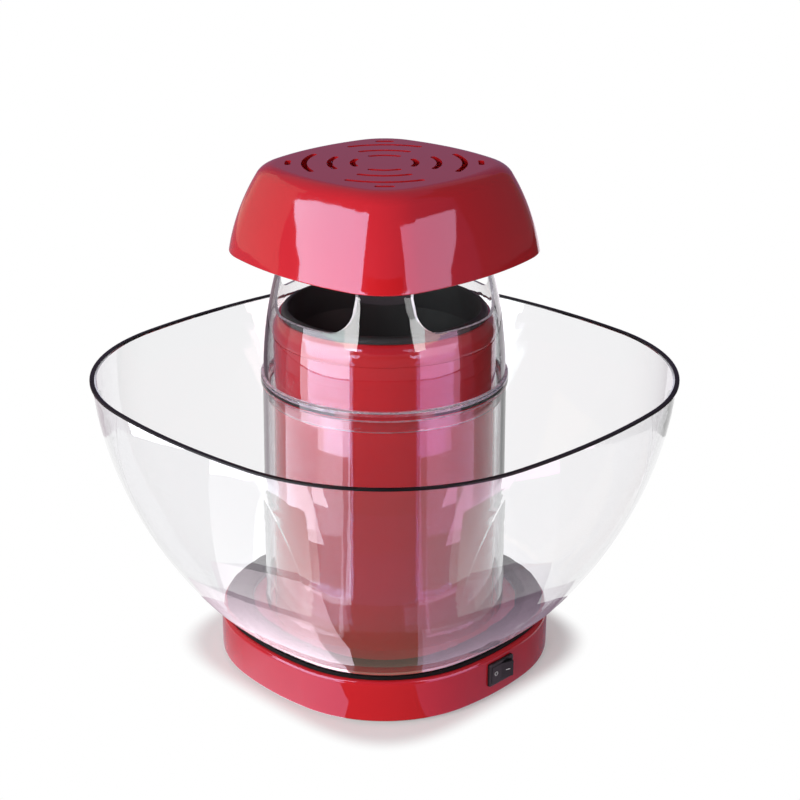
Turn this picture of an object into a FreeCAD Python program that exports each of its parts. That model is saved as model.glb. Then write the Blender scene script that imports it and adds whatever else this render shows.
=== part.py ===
"""Hot-air popcorn maker: base, tower, clear bowl, clear chimney and vented lid, with its works.

Millimetres, +Z up. The origin is the centre of the footprint on the surface that the feet stand on.
The sides lie along X and Y, and the switch is in the -Y face.
"""
import FreeCAD, Part
import math
import os
import re
import Sketcher

Vector = FreeCAD.Vector

# Driving dimensions, in millimetres and degrees. A name ending in _z is a height above the surface.
SIZES = {
    # Base
    "base_bottom_z": 2.0,
    "base_top_z": 28.7,
    "base_half_side": 97.6,
    "base_half_diag": 102.9,
    "base_side_radius": 188,
    "base_wall": 2.6,
    "base_shoulder": 2.6,
    "base_toe": 1.8,
    "deck_hole_radius": 47,
    "housing_boss_height": 8,
    # Bottom cover, feet and screws
    "cover_bottom_z": 2.8,
    "cover_thickness": 2.4,
    "cover_gap": 0.4,
    "cover_slot_width": 4.5,
    "cover_screw_place": 52,
    "foot_place": 63,
    "foot_radius": 8.5,
    "foot_chamfer": 1,
    "foot_draft": 0.4,
    "foot_peg_radius": 2.9,
    "foot_peg_catch": 0.8,
    "foot_peg_reach": 2,
    "screw_head_radius": 3.4,
    "screw_head_height": 1.8,
    "screw_radius": 1.6,
    "screw_length": 11,
    "screw_tip_gap": 1,
    "boss_radius": 4.3,
    # Bowl seat ring
    "seat_outer_inset": 2.6,
    "seat_land_inset": 14,
    "seat_inner_inset": 20,
    "seat_step": 0.5,
    # Bowl: a toe arc and a wall arc in the plane through two corners
    "bowl_foot_z": 31.4,
    "bowl_foot_diag": 91,
    "bowl_toe_radius": 31,
    "bowl_toe_angle": 46,
    "bowl_wall_radius": 217.1,
    "bowl_rim_angle": 87.74,
    "bowl_foot_ratio": 0.93,
    "bowl_middle_ratio": 0.86,
    "bowl_rim_ratio": 0.917,
    "bowl_foot_flatness": 2.1,
    "bowl_rim_flatness": 2.72,
    "bowl_wall": 2.4,
    "collar_top_z": 179,
    "collar_top_radius": 72.9,
    "collar_foot_radius": 74.6,
    "rim_overhang": 1.4,
    "rim_width": 2.8,
    "rim_thickness": 1.1,
    "rim_rounding": 0.4,
    # Tower
    "tower_foot_radius": 69,
    "tower_top_radius": 66,
    "tower_seam_z": 209,
    "tower_rim_radius": 62.6,
    "tower_rim_z": 220.7,
    "tower_shoulder": 13,
    "tower_wall": 2.4,
    "seam_depth": 0.6,
    "seam_half_height": 0.5,
    "tower_screw_place": 62.4,
    "tower_boss_height": 18,
    # Chimney
    "chimney_foot_z": 184.5,
    "chimney_foot_radius": 72.4,
    "chimney_top_z": 268,
    "chimney_top_radius": 56.4,
    "chimney_bell_radius": 245,
    "chimney_wall": 2.0,
    "flange_radius": 74,
    "flange_rounding": 0.8,
    "spigot_radius": 70.1,
    "spigot_bottom_z": 171.3,
    "window_bottom_z": 227,
    "window_top_z": 258.5,
    "window_half_width": 32,
    "window_corner": 12.5,
    # Lid: a shoulder arc and a side arc in the plane through two corners
    "lid_top_z": 309.3,
    "lid_top_diag": 62.5,
    "lid_shoulder_radius": 13,
    "lid_shoulder_angle": 58,
    "lid_side_radius": 125,
    "lid_edge_angle": 80.2,
    "lid_ratio": 0.876,
    "lid_flatness": 2.5,
    "lid_wall": 2.4,
    "lid_edge_rounding": 0.7,
    "lid_ring_radius": 53.4,
    "lid_ring_wall": 1.9,
    "lid_ring_bottom_z": 261,
    "lid_rib_reach": 64,
    "lid_rib_thickness": 2.2,
    "vent_width": 3.4,
    "vent_inner_radius": 18.3,
    "vent_middle_radius": 31.4,
    "vent_outer_radius": 46,
    "vent_corner_radius": 55.4,
    "vent_half_angle": 27,
    "vent_corner_half_angle": 4.5,
    # Rocker switch, a standard 21 by 15 snap-in size
    "switch_z": 17.3,
    "bezel_width": 21,
    "bezel_height": 15,
    "bezel_thickness": 2.0,
    "bezel_corner": 1.2,
    "bezel_rounding": 0.6,
    "bezel_recess": 0.5,
    "switch_body_width": 19,
    "switch_body_height": 12.8,
    "switch_body_depth": 16,
    "panel_gap": 0.15,
    "well_width": 17.9,
    "well_height": 10.7,
    "well_depth": 9.8,
    "rocker_half_width": 8.1,
    "rocker_height": 10.1,
    "rocker_face": 2.0,
    "rocker_flank": 0.5,
    "rocker_slope": 9.5,
    "rocker_tail": 4.2,
    "rocker_tail_half_width": 6.2,
    "rocker_pivot_depth": 1.8,
    "trunnion_radius": 1.2,
    "trunnion_reach": 5.9,
    "trunnion_gap": 0.06,
    "terminal_width": 4.8,
    "terminal_thickness": 0.8,
    "terminal_length": 8,
    "terminal_place": 5,
    # Cord gland in the rear wall
    "gland_z": 15.5,
    "gland_flange_radius": 8.2,
    "gland_flange_thickness": 2.2,
    "gland_barrel_radius": 6,
    "gland_barrel_reach": 4,
    "gland_bore_radius": 3.4,
    # Fan housing and motor
    "duct_radius": 50,
    "duct_wall": 2.0,
    "duct_top_z": 80,
    "duct_flange_radius": 57.4,
    "duct_flange_thickness": 2.4,
    "housing_screw_place": 37.9,
    "spider_z": 50,
    "spider_thickness": 2.6,
    "spider_hub_radius": 20,
    "spoke_width": 7,
    "motor_radius": 18,
    "motor_wall": 1.0,
    "motor_bottom_z": 15,
    "motor_boss_radius": 5.5,
    "motor_boss_height": 2.2,
    "motor_screw_place": 11,
    "motor_screw_radius": 1.2,
    "motor_screw_head": 1.4,
    "end_cap_thickness": 3,
    "magnet_inner_radius": 13.4,
    "magnet_half_angle": 62,
    "rotor_radius": 12.6,
    "rotor_core_radius": 6.3,
    "rotor_slot_half_width": 0.9,
    "rotor_bottom_z": 21,
    "rotor_top_z": 44,
    "shaft_radius": 1.5,
    "shaft_bottom_z": 10.5,
    "shaft_top_z": 70,
    "shaft_gap": 0.04,
    "bush_radius": 3.6,
    "board_half_side": 12,
    "board_thickness": 1.6,
    "board_hole_radius": 4.5,
    "diode_radius": 1.4,
    "diode_length": 5.2,
    "diode_place": 4.2,
    "diode_drop": 1.1,
    # Impeller
    "impeller_z": 56,
    "impeller_height": 15,
    "impeller_radius": 44.5,
    "hub_radius": 9.5,
    "hub_chamfer": 3,
    "blade_thickness": 1.4,
    "blade_sink": 1.5,
    "blade_root_chord": 15,
    "blade_tip_chord": 17,
    "blade_root_pitch": 50,
    "blade_tip_pitch": 64,
    # Heater
    "heater_wall": 0.8,
    "heater_top_z": 150,
    "heater_flange_radius": 52.5,
    "heater_lip": 1.2,
    "mica_top_z": 104,
    "mica_half_width": 36,
    "mica_thickness": 1.0,
    "mica_leg_half_width": 49,
    "mica_leg_height": 5,
    "coil_wire": 1.4,
    "coil_pitch": 3.6,
    "coil_turns": 4,
    "coil_bottom_z": 87.5,
    "thermostat_radius": 8,
    "thermostat_depth": 5,
    "thermostat_z": 118,
    "thermostat_tab_reach": 5,
    "thermostat_tab_height": 2,
    "thermostat_tab_half_width": 2,
    "thermostat_tab_thickness": 0.8,
    "fuse_radius": 2,
    "fuse_length": 12,
    "fuse_z": 112,
    "fuse_lead_radius": 0.5,
    "fuse_lead_length": 6,
    # Popping chamber, seal and collar
    "chamber_radius": 44.6,
    "chamber_wall": 0.8,
    "chamber_floor_z": 107,
    "chamber_corner": 5,
    "chamber_flat": 4,
    "chamber_dome_radius": 8,
    "chamber_dome_edge": 3,
    "chamber_dome_height": 4,
    "chamber_flange_radius": 52.5,
    "slot_length": 11,
    "slot_width": 2.4,
    "slot_lean": 35,
    "slot_z": 120,
    "slot_depth": 5,
    "seal_thickness": 1.6,
    "funnel_mouth_radius": 61,
    "funnel_throat_radius": 46.6,
    "funnel_wall": 2.0,
    "funnel_lip": 0.8,
    "funnel_lip_drop": 2,
    "funnel_lip_round": 3.4,
    "funnel_top_z": 224.4,
    "funnel_bend_z": 205,
    "funnel_foot_radius": 52.5,
    # Clearances of pressed and loose fits, overlap where one feature joins another, reach past a cut face
    "press_gap": 0.02,
    "loose_gap": 0.1,
    "joint_overlap": 0.5,
    "cut_margin": 1,
}

COVER_SLOT_RADII = (16, 25, 34)
COVER_SLOT_HALF_ANGLE = 32
BLADES = 9
CHAMBER_SLOTS = 20
ROTOR_SLOTS = 5
SLOT_END_SHARE = 0.52
QUARTERS = 4

doc = FreeCAD.newDocument("popcorn_maker")
dims = doc.addObject("Spreadsheet::Sheet", "dims")
for row, (alias, size) in enumerate(SIZES.items(), start=1):
    dims.set(f"A{row}", alias)
    dims.set(f"B{row}", str(size))
    dims.setAlias(f"B{row}", alias)
doc.recompute()

ALIAS = re.compile(r"\b[a-z]+(?:_[a-z]+)+\b")
SUB_PARTS = []
VOLUMES = {}
LEAST_CHANGE = 1e-3
SAME_LEVEL = 1e-4


# Expressions and bindings

def bound(text):
    """An expression in which each alias refers to the sheet."""
    return ALIAS.sub(lambda word: "dims." + word.group(0), str(text))


def number(text):
    """What an expression comes to with the sheet's present sizes."""
    value = dims.evalExpression(bound(text))
    return float(getattr(value, "Value", value))


def bind(item, path, text):
    item.setExpression(path, bound(text))


def sub_part(name):
    """A new body, which becomes a piece of the object under this name."""
    body = doc.addObject("PartDesign::Body", name)
    body.Label = name
    body.AllowCompound = True
    SUB_PARTS.append(body)
    return body


def origin_feature(body, role):
    return [item for item in body.Origin.OriginFeatures if item.Role == role][0]


# Sketches

def sketch_on(body, role, name, lift="0"):
    """A sketch on one of the body's planes, lifted along its normal."""
    sketch = body.newObject("Sketcher::SketchObject", name)
    sketch.AttachmentSupport = [(origin_feature(body, role), "")]
    sketch.MapMode = "FlatFace"
    bind(sketch, "AttachmentOffset.Base.z", lift)
    return sketch


def shift_and_turn(sketch, up, angle):
    """Move a sketch along its own vertical and turn it by an angle there."""
    turn = FreeCAD.Rotation(Vector(0, 0, 1), number(angle))
    sketch.AttachmentOffset = FreeCAD.Placement(sketch.AttachmentOffset.Base, turn)
    bind(sketch, "AttachmentOffset.Base.y", up)
    bind(sketch, "AttachmentOffset.Rotation.Angle", angle)


def add_constraints(sketch, rules):
    """Add (constraint, expression or None) pairs and bind the ones that carry an expression."""
    first = sketch.ConstraintCount
    sketch.addConstraint([rule for rule, _ in rules])
    for index, (_, text) in enumerate(rules):
        if text is not None:
            bind(sketch, f"Constraints[{first + index}]", text)


def pin(point, x_text, y_text):
    """Rules that hold a point at x, y from the sketch's origin."""
    rules = []
    for kind, axis, text in (("DistanceX", -2, x_text), ("DistanceY", -1, y_text)):
        if text == "0":
            rules.append((Sketcher.Constraint("PointOnObject", *point, axis), None))
        else:
            rules.append((Sketcher.Constraint(kind, -1, 1, *point, number(text)), text))
    return rules


def arc_between(here, there, radius, turn):
    """An arc from here to there, counter-clockwise for a turn of 1 and clockwise for -1."""
    chord = there - here
    reach = math.sqrt(max(radius ** 2 - chord.Length ** 2 / 4, 0))
    side = Vector(-chord.y, chord.x, 0).normalize()
    centre = (here + there) / 2 + side * (reach * turn)
    first, last = (here, there) if turn > 0 else (there, here)
    start = math.atan2(first.y - centre.y, first.x - centre.x)
    end = math.atan2(last.y - centre.y, last.x - centre.x)
    return Part.ArcOfCircle(Part.Circle(centre, Vector(0, 0, 1), radius), start, end)


def outline(sketch, corners):
    """A closed loop. A corner is (x, y), or (x, y, radius, turn) where an arc leads to the next one."""
    spots = [Vector(number(corner[0]), number(corner[1]), 0) for corner in corners]
    begins = []
    ends = []
    rules = []
    for index, corner in enumerate(corners):
        here = spots[index]
        there = spots[(index + 1) % len(spots)]
        if len(corner) == 2:
            edge = sketch.addGeometry(Part.LineSegment(here, there), False)
            turn = 1
        else:
            radius, turn = corner[2:]
            edge = sketch.addGeometry(arc_between(here, there, number(radius), turn), False)
            rules.append((Sketcher.Constraint("Radius", edge, number(radius)), radius))
        begins.append((edge, 1 if turn > 0 else 2))
        ends.append((edge, 2 if turn > 0 else 1))
    for index, corner in enumerate(corners):
        rules.append((Sketcher.Constraint("Coincident", *ends[index - 1], *begins[index]), None))
        rules.extend(pin(begins[index], corner[0], corner[1]))
    add_constraints(sketch, rules)


def circle(sketch, x_text, y_text, radius):
    place = Vector(number(x_text), number(y_text), 0)
    edge = sketch.addGeometry(Part.Circle(place, Vector(0, 0, 1), number(radius)), False)
    rules = pin((edge, 3), x_text, y_text)
    rules.append((Sketcher.Constraint("Radius", edge, number(radius)), radius))
    add_constraints(sketch, rules)


def square_places(place):
    return [(x_sign + place, y_sign + place) for x_sign in ("", "-") for y_sign in ("", "-")]


def axis_places(place):
    return [(place, "0"), ("-" + place, "0"), ("0", place), ("0", "-" + place)]


def circles(sketch, places, radius):
    for x_text, y_text in places:
        circle(sketch, x_text, y_text, radius)


def rectangle(sketch, x_low, x_high, y_low, y_high):
    outline(sketch, [(x_low, y_low), (x_high, y_low), (x_high, y_high), (x_low, y_high)])


def rounded_rectangle(sketch, half_width, y_low, y_high, corner):
    left = f"-({half_width})"
    inner_left = f"{corner} - ({half_width})"
    inner_right = f"{half_width} - ({corner})"
    bottom = f"{y_low} + {corner}"
    top = f"{y_high} - {corner}"
    outline(sketch, [
        (inner_left, y_low), (inner_right, y_low, corner, 1),
        (half_width, bottom), (half_width, top, corner, 1),
        (inner_right, y_high), (inner_left, y_high, corner, 1),
        (left, top), (left, bottom, corner, 1),
    ])


def arc_slot(sketch, radius, width, half_angle, middle):
    """A slot along an arc round the origin, with rounded ends, about the direction middle."""
    outer = f"({radius} + {width}/2)"
    inner = f"({radius} - {width}/2)"
    low = f"({middle} - {half_angle})"
    high = f"({middle} + {half_angle})"
    cap = f"{SLOT_END_SHARE}*{width}"
    outline(sketch, [
        (f"{outer}*cos({low})", f"{outer}*sin({low})", outer, 1),
        (f"{outer}*cos({high})", f"{outer}*sin({high})", cap, 1),
        (f"{inner}*cos({high})", f"{inner}*sin({high})", inner, -1),
        (f"{inner}*cos({low})", f"{inner}*sin({low})", cap, 1),
    ])


def rounded_square(sketch, half_side, half_diag, side_radius):
    """Four long side arcs and four corner arcs, tangent all round.

    The corner arc's centre lies on the diagonal, where one circle touches both the side arc and the
    stated half diagonal.
    """
    offset = f"(({side_radius}) - ({half_side}))"
    reach = f"(({side_radius}) - ({half_diag}))"
    corner_place = f"(({reach}^2 - {offset}^2) / (2*{offset} - 2*sqrt(2)*{reach}))"
    corner_radius = f"(({half_diag}) - sqrt(2)*{corner_place})"
    side = number(side_radius)
    back = number(offset)
    middle = number(corner_place)
    corner = number(corner_radius)
    swing = math.atan2(middle, middle + back)
    up = Vector(0, 0, 1)
    sides = []
    corners = []
    for quarter in range(QUARTERS):
        turn = quarter * math.pi / 2
        ahead = Vector(math.cos(turn), math.sin(turn), 0)
        left = Vector(-math.sin(turn), math.cos(turn), 0)
        side_circle = Part.Circle(ahead * -back, up, side)
        corner_circle = Part.Circle((ahead + left) * middle, up, corner)
        sides.append(sketch.addGeometry(Part.ArcOfCircle(side_circle, turn - swing, turn + swing), False))
        corners.append(sketch.addGeometry(
            Part.ArcOfCircle(corner_circle, turn + swing, turn + math.pi / 2 - swing), False))
    rules = []
    for quarter in range(QUARTERS):
        rules.append((Sketcher.Constraint("Tangent", sides[quarter], 2, corners[quarter], 1), None))
        following = sides[(quarter + 1) % QUARTERS]
        rules.append((Sketcher.Constraint("Tangent", corners[quarter], 2, following, 1), None))
        centre = (sides[quarter], 3)
        root = (-1, 1)
        kind, axis = ("DistanceX", -1) if quarter % 2 == 0 else ("DistanceY", -2)
        first, last = (centre, root) if quarter < 2 else (root, centre)
        rules.append((Sketcher.Constraint("PointOnObject", *centre, axis), None))
        rules.append((Sketcher.Constraint(kind, *first, *last, back), offset))
        if quarter > 0:
            rules.append((Sketcher.Constraint("Equal", sides[0], sides[quarter]), None))
            rules.append((Sketcher.Constraint("Equal", corners[0], corners[quarter]), None))
    rules.append((Sketcher.Constraint("Radius", sides[0], side), side_radius))
    rules.append((Sketcher.Constraint("Radius", corners[0], corner), corner_radius))
    add_constraints(sketch, rules)


def inset_square(sketch, shape, inset):
    """The rounded square of a (half side, half diagonal, side radius) triple, moved in all round."""
    rounded_square(sketch, *(f"({length}) - ({inset})" for length in shape))


# Features

def settle(body, feature, grows):
    """Recompute, make the feature the body's tip and make sure that it added or cut something."""
    doc.recompute()
    body.Tip = feature
    doc.recompute()
    change = feature.Shape.Volume - VOLUMES.get(body.Name, 0)
    if (change > 0) != grows or abs(change) < LEAST_CHANGE:
        raise RuntimeError(f"{feature.Label} of {body.Label} changed the volume by {change}")
    VOLUMES[body.Name] = feature.Shape.Volume
    return feature


def pad(body, sketch, name, length, down=False, both=False):
    feature = body.newObject("PartDesign::Pad", name)
    feature.Profile = sketch
    bind(feature, "Length", length)
    feature.Reversed = down
    if both:
        feature.SideType = "Symmetric"
    return settle(body, feature, True)


def pocket(body, sketch, name, length, along=False, both=False):
    """Cut against the sketch's normal, or along it."""
    feature = body.newObject("PartDesign::Pocket", name)
    feature.Profile = sketch
    bind(feature, "Length", length)
    feature.Reversed = along
    if both:
        feature.SideType = "Symmetric"
    return settle(body, feature, False)


def turned(body, kind, sketch, name):
    feature = body.newObject("PartDesign::" + kind, name)
    feature.Profile = sketch
    feature.ReferenceAxis = (sketch, ["V_Axis"])
    feature.Angle = 360
    return settle(body, feature, kind == "Revolution")


def revolve(body, name, corners):
    """Turn a half section, given as radius and height, about the axis."""
    sketch = sketch_on(body, "XZ_Plane", name + "_section")
    outline(sketch, corners)
    return turned(body, "Revolution", sketch, name)


def groove(body, name, corners):
    sketch = sketch_on(body, "XZ_Plane", name + "_section")
    outline(sketch, corners)
    return turned(body, "Groove", sketch, name)


def loft(body, kind, name, sections):
    feature = body.newObject("PartDesign::" + kind, name)
    feature.Profile = sections[0]
    feature.Sections = sections[1:]
    return settle(body, feature, kind == "AdditiveLoft")


def polar(body, originals, name, count):
    """Repeat features evenly about the vertical axis."""
    grows = "Pocket" not in originals[0].TypeId
    feature = body.newObject("PartDesign::PolarPattern", name)
    feature.Originals = originals
    feature.Axis = (origin_feature(body, "Z_Axis"), [""])
    feature.Angle = 360
    feature.Occurrences = count
    return settle(body, feature, grows)


def round_edges(body, name, radius, level, axis="Z"):
    """Fillet the edges that lie flat at a level along the axis."""
    base = body.Tip
    place = number(level)
    edges = []
    for index, edge in enumerate(base.Shape.Edges, start=1):
        low = getattr(edge.BoundBox, axis + "Min")
        high = getattr(edge.BoundBox, axis + "Max")
        if max(abs(low - place), abs(high - place)) < SAME_LEVEL:
            edges.append(f"Edge{index}")
    feature = body.newObject("PartDesign::Fillet", name)
    feature.Base = (base, edges)
    bind(feature, "Radius", radius)
    return settle(body, feature, False)


# Outlines that several pieces share

BASE_SQUARE = ("base_half_side", "base_half_diag", "base_side_radius")
DECK_BOTTOM_Z = "(base_top_z - base_wall)"
COVER_TOP_Z = "(cover_bottom_z + cover_thickness)"


def steps_between(low, high, count):
    """Expressions for even steps from low to high."""
    return [f"({low} + ({high} - {low})*{step}/{count})" for step in range(count + 1)]


def bowl_point(angle, inset="0"):
    """Half diagonal and height of the bowl's wall where it leans by angle, moved in by inset."""
    if number(f"{angle} - bowl_toe_angle") <= 0:
        half_diag = f"bowl_foot_diag + bowl_toe_radius*sin({angle})"
        height = f"bowl_foot_z + bowl_toe_radius*(1 - cos({angle}))"
    else:
        half_diag = ("bowl_foot_diag + bowl_toe_radius*sin(bowl_toe_angle)"
                     f" + bowl_wall_radius*(sin({angle}) - sin(bowl_toe_angle))")
        height = ("bowl_foot_z + bowl_toe_radius*(1 - cos(bowl_toe_angle))"
                  f" + bowl_wall_radius*(cos(bowl_toe_angle) - cos({angle}))")
    return f"({half_diag} - ({inset})*sin({angle}))", f"({height} + ({inset})*cos({angle}))"


def bowl_square(angle):
    """The bowl's outer rounded square where its wall leans by angle."""
    half_diag, height = bowl_point(angle)
    rim_height = bowl_point("bowl_rim_angle")[1]
    share = number(f"({height} - bowl_foot_z) / ({rim_height} - bowl_foot_z)")
    ratio = (f"(bowl_foot_ratio*{(1 - share) ** 2:.6f} + bowl_middle_ratio*{2 * share * (1 - share):.6f}"
             f" + bowl_rim_ratio*{share ** 2:.6f})")
    flatness = f"(bowl_foot_flatness*{1 - share:.6f} + bowl_rim_flatness*{share:.6f})"
    half_side = f"({half_diag}*{ratio})"
    return half_side, half_diag, f"({half_side}*{flatness})"


BOWL_RIM_Z = bowl_point("bowl_rim_angle")[1]
BOWL_ARCS = (("toe", steps_between("0", "bowl_toe_angle", 3)),
             ("wall", steps_between("bowl_toe_angle", "bowl_rim_angle", 4)))


def lid_point(angle, inset="0"):
    """Half diagonal and height of the lid's side where it leans by angle, moved in by inset."""
    if number(f"{angle} - lid_shoulder_angle") <= 0:
        half_diag = f"lid_top_diag + lid_shoulder_radius*sin({angle})"
        height = f"lid_top_z - lid_shoulder_radius*(1 - cos({angle}))"
    else:
        half_diag = ("lid_top_diag + lid_shoulder_radius*sin(lid_shoulder_angle)"
                     f" + lid_side_radius*(sin({angle}) - sin(lid_shoulder_angle))")
        height = ("lid_top_z - lid_shoulder_radius*(1 - cos(lid_shoulder_angle))"
                  f" - lid_side_radius*(cos(lid_shoulder_angle) - cos({angle}))")
    return f"({half_diag} - ({inset})*sin({angle}))", f"({height} - ({inset})*cos({angle}))"


LID_ARCS = (("shoulder", steps_between("0", "lid_shoulder_angle", 3)),
            ("side", steps_between("lid_shoulder_angle", "lid_edge_angle", 3)))


# Base

def base_housing():
    body = sub_part("base_housing")
    sketch = sketch_on(body, "XY_Plane", "base_outline", "base_bottom_z")
    rounded_square(sketch, *BASE_SQUARE)
    pad(body, sketch, "base_block", "base_top_z - base_bottom_z")
    round_edges(body, "shoulder", "base_shoulder", "base_top_z")
    round_edges(body, "toe", "base_toe", "base_bottom_z")
    sketch = sketch_on(body, "XY_Plane", "hollow_outline", "base_bottom_z")
    inset_square(sketch, BASE_SQUARE, "base_wall")
    pocket(body, sketch, "hollow", f"{DECK_BOTTOM_Z} - base_bottom_z", along=True)
    sketch = sketch_on(body, "XY_Plane", "boss_circles", DECK_BOTTOM_Z)
    circles(sketch, square_places("cover_screw_place"), "boss_radius")
    pad(body, sketch, "cover_bosses", f"{DECK_BOTTOM_Z} - {COVER_TOP_Z}", down=True)
    sketch = sketch_on(body, "XY_Plane", "pilot_circles", COVER_TOP_Z)
    circles(sketch, square_places("cover_screw_place"), "screw_radius")
    pocket(body, sketch, "pilot_holes", "screw_length", along=True)
    sketch = sketch_on(body, "XY_Plane", "deck_circles", "base_top_z")
    circle(sketch, "0", "0", "deck_hole_radius")
    circles(sketch, axis_places("tower_screw_place"), "screw_radius + loose_gap")
    pocket(body, sketch, "deck_holes", "base_wall")
    sketch = sketch_on(body, "XY_Plane", "housing_boss_circles", DECK_BOTTOM_Z)
    circles(sketch, square_places("housing_screw_place"), "boss_radius")
    pad(body, sketch, "housing_bosses", "housing_boss_height", down=True)
    sketch = sketch_on(body, "XY_Plane", "housing_pilot_circles", "base_top_z")
    circles(sketch, square_places("housing_screw_place"), "screw_radius")
    pocket(body, sketch, "housing_pilots", "screw_length - duct_flange_thickness")
    front = "base_half_side + cut_margin"
    sketch = sketch_on(body, "XZ_Plane", "switch_seat_outline", front)
    rounded_rectangle(sketch, "bezel_width/2 + panel_gap", "switch_z - bezel_height/2 - panel_gap",
                      "switch_z + bezel_height/2 + panel_gap", "bezel_corner")
    pocket(body, sketch, "switch_seat", "cut_margin + bezel_recess")
    sketch = sketch_on(body, "XZ_Plane", "switch_outline", front)
    half_height = "(switch_body_height/2 + panel_gap)"
    rectangle(sketch, "-(switch_body_width/2 + panel_gap)", "switch_body_width/2 + panel_gap",
              f"switch_z - {half_height}", f"switch_z + {half_height}")
    pocket(body, sketch, "switch_opening", "cut_margin + 2*base_wall")
    sketch = sketch_on(body, "XZ_Plane", "gland_circle", f"-({front})")
    circle(sketch, "0", "gland_z", "gland_barrel_radius + loose_gap")
    pocket(body, sketch, "gland_hole", "cut_margin + 2*base_wall", along=True)


def bottom_cover():
    body = sub_part("bottom_cover")
    sketch = sketch_on(body, "XY_Plane", "plate_outline", "cover_bottom_z")
    inset_square(sketch, BASE_SQUARE, "base_wall + cover_gap")
    pad(body, sketch, "plate", "cover_thickness")
    sketch = sketch_on(body, "XY_Plane", "hole_circles", "cover_bottom_z")
    circles(sketch, square_places("cover_screw_place"), "screw_radius + loose_gap")
    circles(sketch, square_places("foot_place"), "foot_peg_radius + loose_gap")
    pocket(body, sketch, "screw_and_peg_holes", "cover_thickness", along=True)
    sketch = sketch_on(body, "XY_Plane", "slot_outlines", "cover_bottom_z")
    for radius in COVER_SLOT_RADII:
        arc_slot(sketch, str(radius), "cover_slot_width", str(COVER_SLOT_HALF_ANGLE), "45")
    slots = pocket(body, sketch, "intake_slots", "cover_thickness", along=True)
    polar(body, [slots], "intake_grille", QUARTERS)


def foot(name, x_sign, y_sign):
    """A rubber foot whose peg pushes into the cover."""
    body = sub_part(name)
    revolve(body, "puck", [
        ("0", "0"), ("foot_radius - foot_chamfer", "0"), ("foot_radius", "foot_chamfer"),
        ("foot_radius - foot_draft", "cover_bottom_z"), ("foot_peg_radius", "cover_bottom_z"),
        ("foot_peg_radius", f"{COVER_TOP_Z} + foot_peg_catch"),
        ("foot_peg_radius - foot_peg_catch", f"{COVER_TOP_Z} + foot_peg_reach"),
        ("0", f"{COVER_TOP_Z} + foot_peg_reach"),
    ])
    bind(body, "Placement.Base.x", f"{x_sign}*foot_place")
    bind(body, "Placement.Base.y", f"{y_sign}*foot_place")


def screw_group(name, places, head_z, points_up):
    """Pan-head screws at the places, each a pair of expressions, with the heads' seats at head_z."""
    body = sub_part(name)
    heads = sketch_on(body, "XY_Plane", "head_circles", head_z)
    shanks = sketch_on(body, "XY_Plane", "shank_circles", head_z)
    circles(heads, places, "screw_head_radius")
    circles(shanks, places, "screw_radius - loose_gap")
    pad(body, heads, "heads", "screw_head_height", down=points_up)
    pad(body, shanks, "shanks", "screw_length - screw_tip_gap", down=not points_up)


def bowl_seat_ring():
    """A soft black ring on the deck: the bowl's foot rests on its land, inside a lower skirt."""
    body = sub_part("bowl_seat_ring")
    sketch = sketch_on(body, "XY_Plane", "ring_outline", "base_top_z")
    inset_square(sketch, BASE_SQUARE, "seat_outer_inset")
    inset_square(sketch, BASE_SQUARE, "seat_inner_inset")
    pad(body, sketch, "skirt", "bowl_foot_z - seat_step - base_top_z")
    sketch = sketch_on(body, "XY_Plane", "land_outline", "base_top_z")
    inset_square(sketch, BASE_SQUARE, "seat_land_inset")
    inset_square(sketch, BASE_SQUARE, "seat_inner_inset")
    pad(body, sketch, "land", "bowl_foot_z - base_top_z")


def switch_bezel():
    body = sub_part("switch_bezel")
    seat = "base_half_side - bezel_recess"
    sketch = sketch_on(body, "XZ_Plane", "bezel_outline", seat)
    rounded_rectangle(sketch, "bezel_width/2", "switch_z - bezel_height/2", "switch_z + bezel_height/2",
                      "bezel_corner")
    pad(body, sketch, "bezel", "bezel_thickness")
    round_edges(body, "bezel_edge", "bezel_rounding", f"-({seat} + bezel_thickness)", "Y")
    sketch = sketch_on(body, "XZ_Plane", "body_outline", seat)
    rectangle(sketch, "-switch_body_width/2", "switch_body_width/2",
              "switch_z - switch_body_height/2", "switch_z + switch_body_height/2")
    pad(body, sketch, "body", "switch_body_depth", down=True)
    sketch = sketch_on(body, "XZ_Plane", "well_outline", f"{seat} + bezel_thickness")
    rectangle(sketch, "-well_width/2", "well_width/2", "switch_z - well_height/2", "switch_z + well_height/2")
    pocket(body, sketch, "well", "well_depth")
    sketch = sketch_on(body, "XY_Plane", "trunnion_circle", "switch_z")
    circle(sketch, "0", f"-({seat} + bezel_thickness - rocker_pivot_depth)", "trunnion_radius + trunnion_gap")
    pocket(body, sketch, "trunnion_holes", "2*(trunnion_reach + loose_gap)", both=True)


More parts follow.
